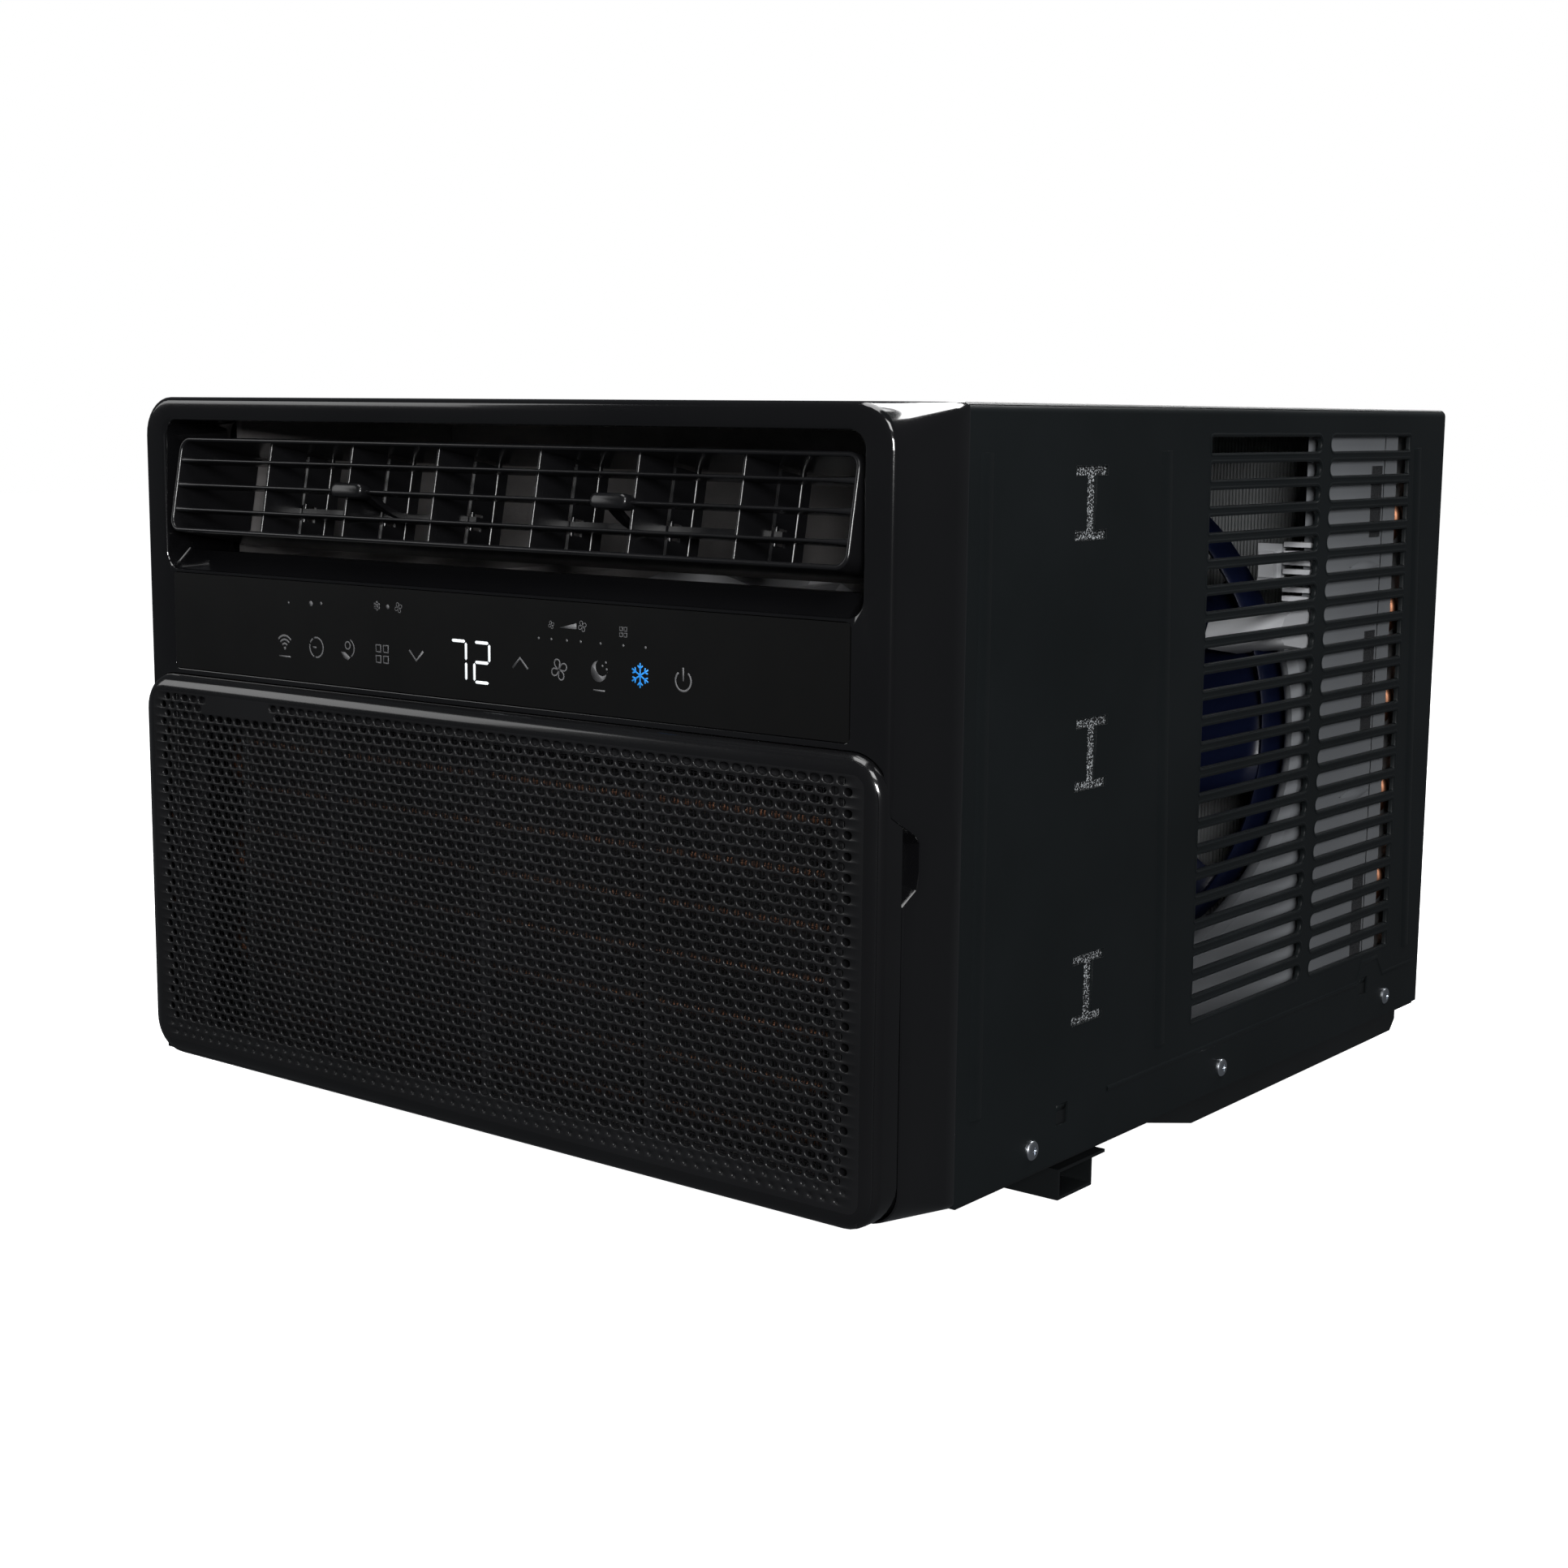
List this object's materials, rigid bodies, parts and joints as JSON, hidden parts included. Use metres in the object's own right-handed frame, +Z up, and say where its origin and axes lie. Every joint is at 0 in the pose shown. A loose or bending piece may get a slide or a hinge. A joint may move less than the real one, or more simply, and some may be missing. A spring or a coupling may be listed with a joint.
{
  "type": "window air conditioner",
  "caption": "Black window air conditioner with a tilting air louvre, swivelling vanes, touch panel, perforated front grille and vented steel cabinet.",
  "frame": {"origin": "centre of the footprint, at the underside of the sill rail", "axes": "+X to the right seen from the room, -Y faces the room, +Z up"},
  "size_m": [0.4856, 0.549, 0.371],
  "materials": {
    "cabinet_paint": "satin",
    "bezel_plastic": "gloss",
    "grille_plastic": "satin",
    "panel_glass": "gloss",
    "louvre_plastic": "satin",
    "pan_paint": "satin",
    "screw_steel": "satin",
    "circuit_board": "matte",
    "display_cover": "gloss",
    "filter_plastic": "matte",
    "filter_net": "matte",
    "fin_aluminium": "satin",
    "copper": "satin",
    "galvanised": "satin",
    "white_foam": "matte",
    "grey_foam": "matte",
    "shroud_plastic": "satin",
    "fan_plastic": "satin",
    "wheel_plastic": "satin",
    "motor_paint": "satin",
    "black_paint": "satin",
    "black_rubber": "matte",
    "shaft_steel": "satin",
    "capacitor_can": "satin"
  },
  "bodies": {
    "cabinet": {"cabinet_wrapper": "cabinet_paint", "base_pan": "pan_paint", "drain_plug": "black_rubber", "cord_gland": "black_rubber", "sill_rail": "pan_paint", "cabinet_screws": "screw_steel", "front_bezel": "bezel_plastic", "control_panel_glass": "panel_glass", "control_board": "circuit_board", "display_module": "display_cover", "evaporator_fins": "fin_aluminium", "evaporator_end_plates": "galvanised", "evaporator_tubes": "copper", "condenser_fins": "fin_aluminium", "condenser_end_plates": "galvanised", "condenser_tubes": "copper", "drip_tray": "white_foam", "foam_seal": "grey_foam", "temperature_sensor": "black_rubber", "inlet_ring_plate": "galvanised", "blower_scroll": "white_foam", "outlet_duct": "white_foam", "bulkhead_panel": "galvanised", "fan_motor": "motor_paint", "motor_bracket": "galvanised", "fan_shroud": "shroud_plastic", "compressor_shell": "black_paint", "compressor_grommets": "black_rubber", "compressor_bolts": "screw_steel", "compressor_terminal_cover": "black_rubber", "compressor_accumulator": "black_paint", "suction_line": "copper", "discharge_line": "copper", "liquid_line": "copper", "filter_drier": "copper", "capillary_tube": "copper", "control_box": "galvanised", "run_capacitor": "capacitor_can", "capacitor_clamp": "galvanised", "side_insulation_left": "grey_foam", "side_insulation_right": "grey_foam"},
    "grille": {"intake_grille": "grille_plastic"},
    "filter": {"filter_frame": "filter_plastic", "filter_mesh": "filter_net"},
    "fan_rotor": {"motor_shaft": "shaft_steel", "wheel_nuts": "shaft_steel", "blower_wheel": "wheel_plastic", "condenser_fan": "fan_plastic"},
    "louvre": {"louvre_frame": "louvre_plastic"},
    "left_tab": {"left_vane_link": "louvre_plastic", "left_vane_tab": "louvre_plastic"},
    "left_vane_1_body": {"left_vane_1": "louvre_plastic"},
    "left_vane_2_body": {"left_vane_2": "louvre_plastic"},
    "left_vane_3_body": {"left_vane_3": "louvre_plastic"},
    "right_tab": {"right_vane_link": "louvre_plastic", "right_vane_tab": "louvre_plastic"},
    "right_vane_1_body": {"right_vane_1": "louvre_plastic"},
    "right_vane_2_body": {"right_vane_2": "louvre_plastic"},
    "right_vane_3_body": {"right_vane_3": "louvre_plastic"}
  },
  "joints": [
    {"name": "grille_tilt", "type": "hinge", "parent": "cabinet", "child": "grille", "pos_m": [0, -0.2605, 0.029], "axis": [1, 0, 0], "range_deg": [0, 50]},
    {"name": "filter_slide", "type": "slide", "parent": "grille", "child": "filter", "axis": [0, 0, 1], "range_m": [0, 0.0075]},
    {"name": "louvre_tilt", "type": "hinge", "parent": "cabinet", "child": "louvre", "pos_m": [0, -0.2421, 0.3219], "axis": [1, 0, 0], "range_deg": [-9, 18]},
    {"name": "fan_spin", "type": "hinge", "parent": "cabinet", "child": "fan_rotor", "pos_m": [0.06, 0, 0.196], "axis": [0, 1, 0], "continuous": true},
    {"name": "left_tab_slide", "type": "slide", "parent": "louvre", "child": "left_tab", "axis": [1, 0, 0], "range_m": [-0.0073, 0.0073]},
    {"name": "left_vane_1_turn", "type": "hinge", "parent": "louvre", "child": "left_vane_1_body", "pos_m": [-0.153, -0.22048, 0.31782], "axis": [0, 0.1857, 0.9826], "range_deg": [-30, 30]},
    {"name": "left_vane_2_turn", "type": "hinge", "parent": "louvre", "child": "left_vane_2_body", "pos_m": [-0.093, -0.22048, 0.31782], "axis": [0, 0.1857, 0.9826], "range_deg": [-30, 30]},
    {"name": "left_vane_3_turn", "type": "hinge", "parent": "louvre", "child": "left_vane_3_body", "pos_m": [-0.033, -0.22048, 0.31782], "axis": [0, 0.1857, 0.9826], "range_deg": [-30, 30]},
    {"name": "right_tab_slide", "type": "slide", "parent": "louvre", "child": "right_tab", "axis": [1, 0, 0], "range_m": [-0.0073, 0.0073]},
    {"name": "right_vane_1_turn", "type": "hinge", "parent": "louvre", "child": "right_vane_1_body", "pos_m": [0.033, -0.22048, 0.31782], "axis": [0, 0.1857, 0.9826], "range_deg": [-30, 30]},
    {"name": "right_vane_2_turn", "type": "hinge", "parent": "louvre", "child": "right_vane_2_body", "pos_m": [0.093, -0.22048, 0.31782], "axis": [0, 0.1857, 0.9826], "range_deg": [-30, 30]},
    {"name": "right_vane_3_turn", "type": "hinge", "parent": "louvre", "child": "right_vane_3_body", "pos_m": [0.153, -0.22048, 0.31782], "axis": [0, 0.1857, 0.9826], "range_deg": [-30, 30]}
  ],
  "couplings": [
    {"joint": "left_vane_1_turn", "follows": "left_tab_slide", "rad_per_m": 71.429},
    {"joint": "left_vane_2_turn", "follows": "left_tab_slide", "rad_per_m": 71.429},
    {"joint": "left_vane_3_turn", "follows": "left_tab_slide", "rad_per_m": 71.429},
    {"joint": "right_vane_1_turn", "follows": "right_tab_slide", "rad_per_m": 71.429},
    {"joint": "right_vane_2_turn", "follows": "right_tab_slide", "rad_per_m": 71.429},
    {"joint": "right_vane_3_turn", "follows": "right_tab_slide", "rad_per_m": 71.429}
  ]
}
